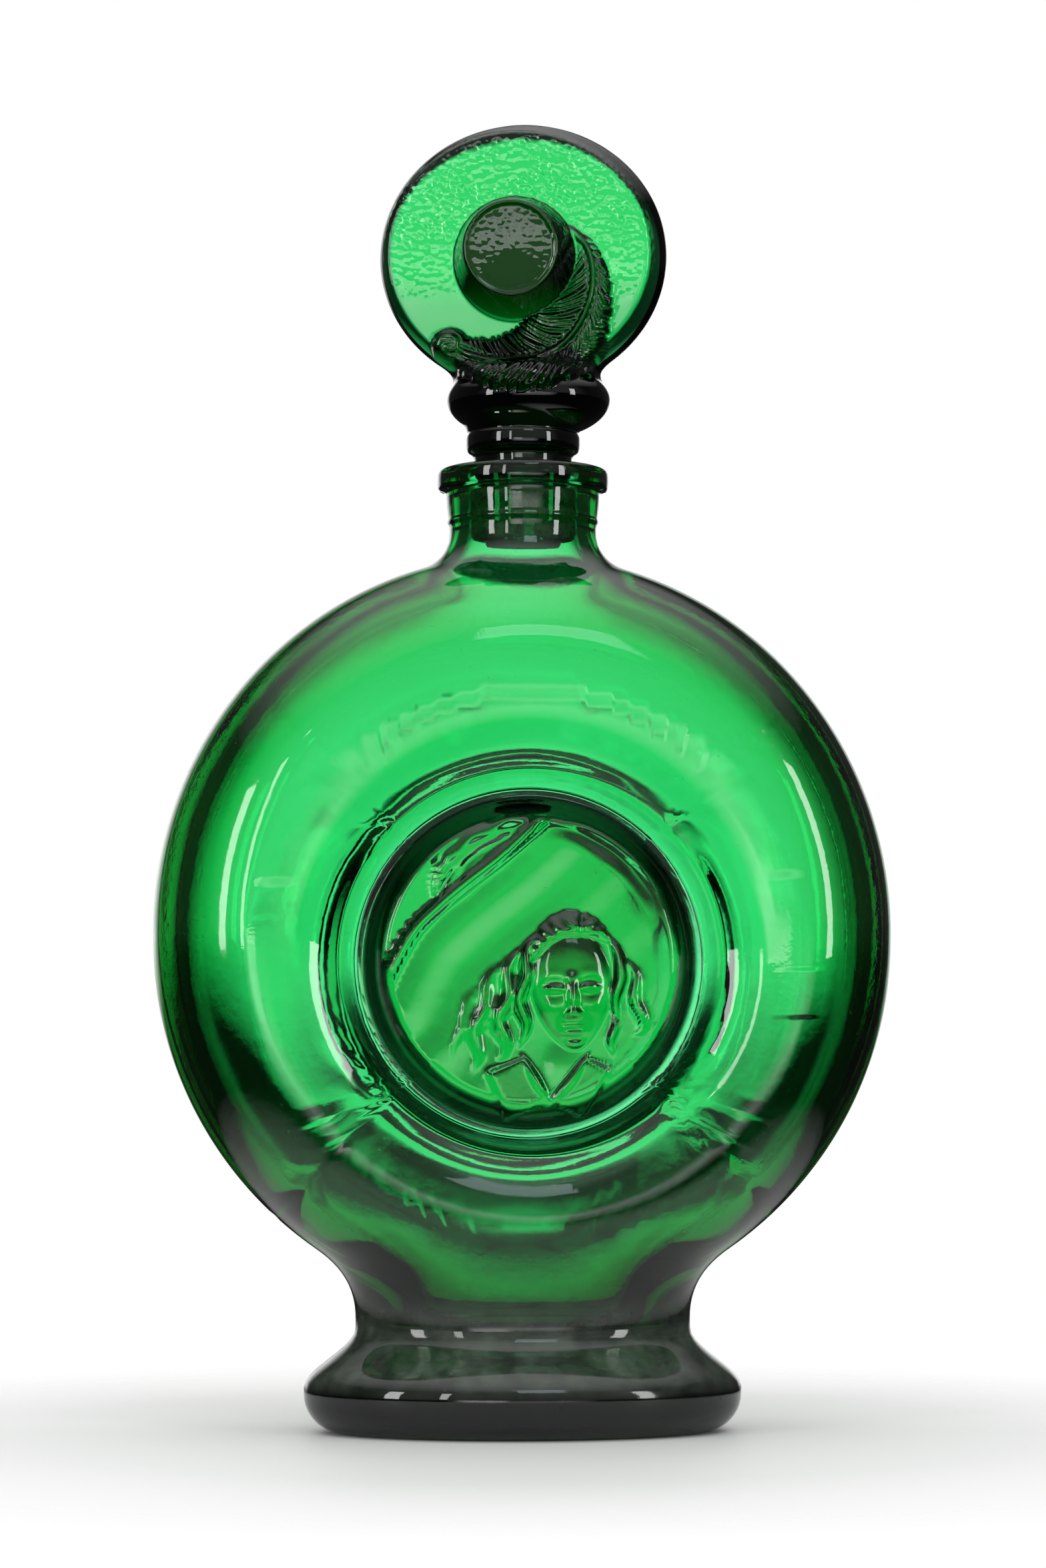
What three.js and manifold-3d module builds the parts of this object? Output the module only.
// A stoppered moon flask in green pressed glass: a round hollow body on an oval foot, with a sunk well
// and a raised medallion on each face, and a solid glass stopper shaped as a plumed hat.
// Millimetres, +Z up. The front faces -Y and the origin is on the table, under the middle of the foot.
import * as THREE from "three";
import { mergeVertices } from "three/addons/utils/BufferGeometryUtils.js";
import Module from "manifold-3d";

const wasm = await Module();
wasm.setup();

// ---- driving dimensions ----
const GAP = 0.3; // between pieces that touch on the real flask
const WALL = 4.3; // usual thickness of the glass

const BODY = { centre: 106, halfWidth: 79.2, halfHeight: 81.2, halfDepth: 31, crest: 0.7 };
const FOOT = { halfWidth: 46.5, halfDepth: 31, round: 8, flareLow: 9.2, flareHigh: 21.8, corner: 2.2 };
const WAIST = { halfWidth: 35.7, halfDepth: 22 };
const NECK = { radius: 16, bore: 11.9, start: 186, lipJoin: 190 };
const LIP = { radius: 18.5, low: 200.6, top: 205.4, round: 0.9 };
const FILLET = 9; // how softly the body runs into its neck and its waist
const CAVITY_FLOOR = 20; // solid glass below this height
const RESTING_HOLLOW = { halfWidth: 30, halfDepth: 15, depth: 1.2 }; // pushed up under the foot

const WELL = { height: 98.8, crestRadius: 56, bend: 0.0217, grooveOuter: 40, grooveInner: 36.4, floor: 20 };
const MEDALLION = { radius: 34.4, face: 25, faceRadius: 28.6 };

const STOPPER = { pegRadius: 8.4, pegEnd: 187.5, shoulderRadius: 10.6, collarRadius: 12.4, yaw: -8.5 };
const KNOB = { radius: 17.8, height: 220, offset: 1.2 };
const HAT = { height: 252, halfWidth: 31.2, halfHeight: 28.8, front: 4.4, back: 4.6, lean: 5 };
const CROWN = { baseRadius: 13.5, endRadius: 10.3, length: 13 };
const PLUME = { inner: 12.6, outer: 26.5, from: 205, to: 400, height: 5 };
const CORK = { radius: 11.5, low: 189.5, top: 201, chamfer: 0.8 };

const AROUND = 36; // sides of the oval rings of the flask
const TURNED = 30; // sides of the turned shapes

// ---- helpers ----
const radians = THREE.MathUtils.degToRad;
const smoothstep = (from, to, v) => THREE.MathUtils.smoothstep((v - from) / (to - from), 0, 1);
const smoothMax = (a, b, k) => Math.max(a, b) + Math.max(k - Math.abs(a - b), 0) ** 2 / (4 * k);
const spread = (from, to, count) => Array.from({ length: count }, (_, i) => from + ((to - from) * i) / (count - 1));

// A closed three.js geometry as a solid, with its faces turned outwards.
function solid(geometry) {
  const bare = geometry.index ? geometry.toNonIndexed() : geometry.clone();
  for (const name of Object.keys(bare.attributes)) if (name !== "position") bare.deleteAttribute(name);
  const merged = mergeVertices(bare, 1e-4);
  const corners = [...merged.index.array];
  const triangles = [];
  for (let i = 0; i < corners.length; i += 3) {
    const [a, b, c] = corners.slice(i, i + 3);
    if (a !== b && b !== c && a !== c) triangles.push([a, b, c]);
  }
  const at = (i) => new THREE.Vector3().fromBufferAttribute(merged.attributes.position, i);
  const volume = triangles.reduce((sum, [a, b, c]) => sum + at(a).dot(at(b).cross(at(c))), 0);
  const facing = volume < 0 ? triangles.map(([a, b, c]) => [a, c, b]) : triangles;
  return new wasm.Manifold(
    new wasm.Mesh({
      numProp: 3,
      vertProperties: merged.attributes.position.array,
      triVerts: new Uint32Array(facing.flat()),
    }),
  );
}

function geometryOf(made) {
  const mesh = made.getMesh();
  const geometry = new THREE.BufferGeometry();
  const positions = new Float32Array(mesh.vertProperties);
  geometry.setAttribute("position", new THREE.BufferAttribute(positions, 3));
  geometry.setIndex(new THREE.BufferAttribute(new Uint32Array(mesh.triVerts), 1));
  return geometry;
}

// A skin over a stack of rings that all have the same number of points, closed by a fan at each end.
function loft(rings) {
  const count = rings[0].length;
  const middle = (ring) => ring.reduce((sum, p) => sum.add(p), new THREE.Vector3()).divideScalar(count);
  const points = [...rings.flat(), middle(rings[0]), middle(rings.at(-1))];
  const [low, high] = [points.length - 2, points.length - 1];
  const index = [];
  for (let j = 0; j < count; j++) {
    const next = (j + 1) % count;
    for (let i = 0; i + 1 < rings.length; i++) {
      const [a, b, c, d] = [i * count + j, i * count + next, (i + 1) * count + next, (i + 1) * count + j];
      index.push(a, b, c, a, c, d);
    }
    const last = (rings.length - 1) * count;
    index.push(low, next, j, high, last + j, last + next);
  }
  return new THREE.BufferGeometry().setFromPoints(points).setIndex(index);
}

// A shape turned about the Z axis, from [radius, height] points that start and end on the axis.
function turned(profile) {
  const points = profile.map(([r, z]) => new THREE.Vector2(r, z));
  return new THREE.LatheGeometry(points, TURNED).rotateX(Math.PI / 2);
}

// A shape turned about the front-to-back axis of the medallion; its profile is [radius, distance in front].
function turnedOnFace(profile, front) {
  const points = profile.map(([r, y]) => new THREE.Vector2(r, front ? -y : y));
  return new THREE.LatheGeometry(points, TURNED + 10).translate(0, 0, WELL.height);
}

// ---- flask ----
// Half the width and half the depth of the glass at a height, for the outside (inset 0) or the cavity.
function section(z, inset) {
  const [a, b, depth] = [BODY.halfWidth - inset, BODY.halfHeight - inset, BODY.halfDepth - inset];
  const rise = Math.min(Math.abs(z - BODY.centre) / b, 1);
  const crest = (BODY.crest * BODY.halfWidth) / a;
  const bodyWidth = a * Math.sqrt(1 - rise ** 2);
  const bodyDepth = depth * Math.sqrt(1 - (Math.max(0, rise - crest) / (1 - crest)) ** 2);
  const upper = z > BODY.centre;
  const neck = inset ? NECK.bore : NECK.radius;
  const flare = inset ? 0 : smoothstep(FOOT.flareHigh, FOOT.flareLow, z);
  const base = inset ? CAVITY_FLOOR : 0;
  const edge = Math.max(0, FOOT.round - (z - base));
  const rounding = FOOT.round - Math.sqrt(FOOT.round ** 2 - edge ** 2);
  const low = (waist, foot) => waist - 1.4 * inset + (foot - waist) * flare - rounding;
  const lowWidth = low(WAIST.halfWidth, FOOT.halfWidth);
  const lowDepth = low(WAIST.halfDepth, FOOT.halfDepth);
  return {
    width: smoothMax(bodyWidth, upper ? neck : lowWidth, FILLET),
    depth: smoothMax(bodyDepth, upper ? neck : lowDepth, FILLET),
    // 1 where the section is a plain oval, as in the neck and the foot, and 0 in the round body
    oval: Math.max(smoothstep(170, 184, z), smoothstep(46, 33, z)),
    corner: 2 + (FOOT.corner - 2) * flare,
    shape: { a, b, crest },
  };
}

function flaskRing(z, inset = 0) {
  const { width, depth, oval, corner, shape } = section(z, inset);
  const bulge = (x) => {
    const away = Math.min(Math.hypot(x / shape.a, (z - BODY.centre) / shape.b), 1);
    return Math.sqrt(1 - (Math.max(0, away - shape.crest) / (1 - shape.crest)) ** 2);
  };
  return Array.from({ length: AROUND }, (_, j) => {
    const turn = (2 * Math.PI * j) / AROUND;
    const along = Math.abs(Math.cos(turn)) ** (2 / corner);
    const across = Math.abs(Math.sin(turn)) ** (2 / corner);
    const x = width * along;
    const round = bulge(0) > 0 ? bulge(x) / bulge(0) : 0;
    const y = depth * THREE.MathUtils.lerp(round, across, oval);
    return new THREE.Vector3(x * Math.sign(Math.cos(turn)), y * Math.sign(Math.sin(turn)), z);
  });
}

function flaskOutside() {
  const footHeights = [0, 0.5, 1.5, 3, 5, 8, 10.5, 13, 15.5, 18, 21, 25, 29, 32, 35, 38];
  const bodyHeights = spread(radians(150), radians(30), 15).map((t) => BODY.centre + BODY.halfHeight * Math.cos(t));
  const neckHeights = [179.2, 181.4, 183, 184.6, 186, 187.4, 190];
  const lip = turned([
    [0, NECK.lipJoin],
    [NECK.radius - 0.2, NECK.lipJoin],
    [NECK.radius + 0.4, LIP.low - 0.8],
    [LIP.radius - LIP.round, LIP.low],
    [LIP.radius, LIP.low + LIP.round],
    [LIP.radius, LIP.top - LIP.round],
    [LIP.radius - LIP.round, LIP.top],
    [0, LIP.top],
  ]);
  const heights = [...footHeights, ...bodyHeights, ...neckHeights, LIP.low + 1];
  return solid(loft(heights.map((z) => flaskRing(z)))).add(solid(lip));
}
// How far in front of the middle the wall of the well lies: it bends down from the crest like the inner side
// of a round tube, then drops into a narrow groove round the medallion.
const wellWall = (r) => BODY.halfDepth - WELL.bend * (WELL.crestRadius - r) ** 2;

function wellCut(front) {
  const above = BODY.halfDepth + 10;
  const { crestRadius, grooveOuter, grooveInner, floor } = WELL;
  const wall = spread(crestRadius, grooveOuter, 6).map((r) => [r, wellWall(r)]);
  const drop = [
    [grooveOuter - 1.5, wellWall(grooveOuter) - 2],
    [grooveInner + 1, floor + 1],
    [grooveInner, floor],
  ];
  return solid(turnedOnFace([[0, above], [crestRadius, above], ...wall, ...drop, [0, floor]], front));
}

function medallionBoss(front) {
  const side = spread(90, 0, 4).map((angle) => [
    MEDALLION.faceRadius + (MEDALLION.radius - MEDALLION.faceRadius) * Math.cos(radians(angle)),
    MEDALLION.face - 5 + 5 * Math.sin(radians(angle)),
  ]);
  const inside = WELL.floor - WALL / 2;
  return solid(turnedOnFace([[0, MEDALLION.face], ...side, [MEDALLION.radius, inside], [0, inside]], front));
}

// The part of each wall that stays glass when the cavity is taken out: the well's wall, the groove round
// the medallion and the medallion itself, each about one wall thick.
function wellBacking(front) {
  const above = BODY.halfDepth + 10;
  const wall = spread(WELL.crestRadius, WELL.grooveOuter, 5).map((r) => [r, wellWall(r) - WALL]);
  const groove = WELL.floor - WALL;
  const pocket = MEDALLION.face - WALL;
  const back = [[37.5, groove + 0.6], [36, groove], [34, groove], [31, groove + 2.5], [28, pocket], [0, pocket]];
  return solid(turnedOnFace([[0, above], [WELL.crestRadius, above], ...wall, ...back], front));
}

function cavity() {
  const lowHeights = [0, 0.6, 2, 4.5, 8, 12, 16].map((rise) => CAVITY_FLOOR + rise);
  const bodyHeights = spread(radians(148), radians(24), 12).map(
    (t) => BODY.centre + (BODY.halfHeight - WALL) * Math.cos(t),
  );
  const neckHeights = [178.5, 180.2, 181.6, 183, 186, LIP.top + 1];
  const heights = [...lowHeights, ...bodyHeights, ...neckHeights];
  const hollow = solid(loft(heights.map((z) => flaskRing(z, WALL))));
  return hollow.subtract(wellBacking(true)).subtract(wellBacking(false));
}

// A shallow oval dome pushed up under the foot, so that the flask stands on a flat rim.
function restingHollow() {
  const dome = new THREE.SphereGeometry(1, TURNED, 12);
  dome.rotateX(Math.PI / 2).scale(RESTING_HOLLOW.halfWidth, RESTING_HOLLOW.halfDepth, RESTING_HOLLOW.depth);
  return solid(dome);
}

function flask() {
  const faces = [true, false];
  let glass = flaskOutside().subtract(restingHollow());
  for (const front of faces) glass = glass.subtract(wellCut(front)).add(medallionBoss(front));
  return glass.subtract(cavity());
}

// The flask is one piece of glass. Its neck and lip are a node of their own, parted from the body by a
// hairline, so that each is a simple solid: a round hollow and a straight tube.
const flaskGlass = flask();
const neckAndLip = () => geometryOf(flaskGlass.trimByPlane([0, 0, 1], NECK.start + GAP / 2));
const flaskBody = () => geometryOf(flaskGlass.trimByPlane([0, 0, -1], -(NECK.start - GAP / 2)));

// ---- stopper ----
// The peg, its shoulder above the lip, the collar ring and the round knob, all turned.
function stopperStem() {
  const { pegRadius, pegEnd, shoulderRadius, collarRadius } = STOPPER;
  const stem = turned([
    [0, pegEnd],
    [pegRadius - 1.6, pegEnd],
    [pegRadius - 0.5, pegEnd + 0.5],
    [pegRadius - 0.1, pegEnd + 1.6],
    [pegRadius, CORK.top + GAP],
    [shoulderRadius - 0.2, CORK.top + 2],
    [shoulderRadius, LIP.top + 1],
    [shoulderRadius + 0.1, LIP.top + 3.2],
    [collarRadius - 0.4, LIP.top + 4.8],
    [collarRadius, LIP.top + 5.6],
    [collarRadius, LIP.top + 7.6],
    [collarRadius - 0.3, LIP.top + 8],
    [collarRadius - 0.3, KNOB.height],
    [0, KNOB.height],
  ]);
  const ball = new THREE.SphereGeometry(1, TURNED, 14).rotateX(Math.PI / 2);
  ball.scale(KNOB.radius, KNOB.radius - 2, 8.4).translate(KNOB.offset, 0, KNOB.height);
  return solid(stem).add(solid(ball));
}

// The hat's brim: a thick oval disc with a rounded rim, turned about its own front-to-back axis.
function hatBrim() {
  const { halfWidth, halfHeight, front, back } = HAT;
  const rim = [
    [0, -front],
    [halfWidth - 1.7, -front],
    [halfWidth - 0.7, -front + 0.8],
    [halfWidth - 0.1, -front + 2.8],
    [halfWidth, 0],
    [halfWidth - 0.6, back - 2.6],
    [halfWidth - 2.6, back - 1],
    [halfWidth - 8, back - 0.1],
    [0, back],
  ];
  const disc = new THREE.LatheGeometry(rim.map(([r, y]) => new THREE.Vector2(r, y)), TURNED);
  return solid(disc.scale(1, 1, halfHeight / halfWidth));
}

function hatCrown() {
  const { baseRadius, endRadius, length } = CROWN;
  const profile = [
    [0, -HAT.front - length],
    [endRadius - 0.5, -HAT.front - length],
    [endRadius, -HAT.front - length + 0.6],
    [baseRadius - 0.8, -HAT.front - 1.6],
    [baseRadius, -HAT.front - 0.4],
    [baseRadius, 0],
    [0, 0],
  ];
  return solid(new THREE.LatheGeometry(profile.map(([r, y]) => new THREE.Vector2(r, y)), TURNED));
}

// The plume: a ridge that curls round the lower right of the crown, widest underneath and thin at its tip.
function hatPlume() {
  const { inner, outer, from, to, height } = PLUME;
  const rings = spread(from, to, 20).map((angle) => {
    const share = (angle - from) / (to - from);
    const swell = Math.sin(Math.PI * (0.1 + 0.82 * share)) ** 0.6;
    const half = ((outer - inner) / 2) * swell;
    const out = new THREE.Vector3(Math.cos(radians(angle)), 0, Math.sin(radians(angle)));
    return spread(0, 2 * Math.PI, 13).slice(0, -1).map((turn) => {
      const point = out.clone().multiplyScalar(inner + half + half * Math.cos(turn));
      return point.setY(-HAT.front - height * swell * Math.sin(turn));
    });
  });
  return solid(loft(rings));
}

function stopper() {
  const hat = hatBrim().add(hatCrown()).add(hatPlume()).rotate([HAT.lean, 0, 0]).translate([0, 0, HAT.height]);
  return geometryOf(stopperStem().add(hat));
}

// ---- cork sleeve on the peg ----
function corkSleeve() {
  const { radius, low, top, chamfer } = CORK;
  const inner = STOPPER.pegRadius + GAP;
  const profile = [
    [inner, low],
    [radius - chamfer, low],
    [radius - 0.3, low + chamfer],
    [radius, top - chamfer],
    [radius - chamfer, top],
    [inner, top],
    [inner, low],
  ];
  return geometryOf(solid(turned(profile)));
}

// ---- assembly ----
const glass = new THREE.MeshStandardMaterial({ color: 0x12a34a, roughness: 0.04, metalness: 0 });
const darkGlass = new THREE.MeshStandardMaterial({ color: 0x0b7a38, roughness: 0.06, metalness: 0 });
const cork = new THREE.MeshStandardMaterial({ color: 0x9a6b40, roughness: 0.85, metalness: 0 });

function piece(name, geometry, material) {
  const mesh = new THREE.Mesh(geometry, material);
  mesh.name = name;
  return mesh;
}

const stopperGroup = new THREE.Group();
stopperGroup.rotation.z = radians(STOPPER.yaw);
stopperGroup.add(piece("glass_stopper", stopper(), darkGlass));

const assembly = new THREE.Group();
assembly.add(
  piece("flask", flaskBody(), glass),
  piece("neck_and_lip", neckAndLip(), glass),
  piece("cork_sleeve", corkSleeve(), cork),
  stopperGroup,
);

export default assembly;
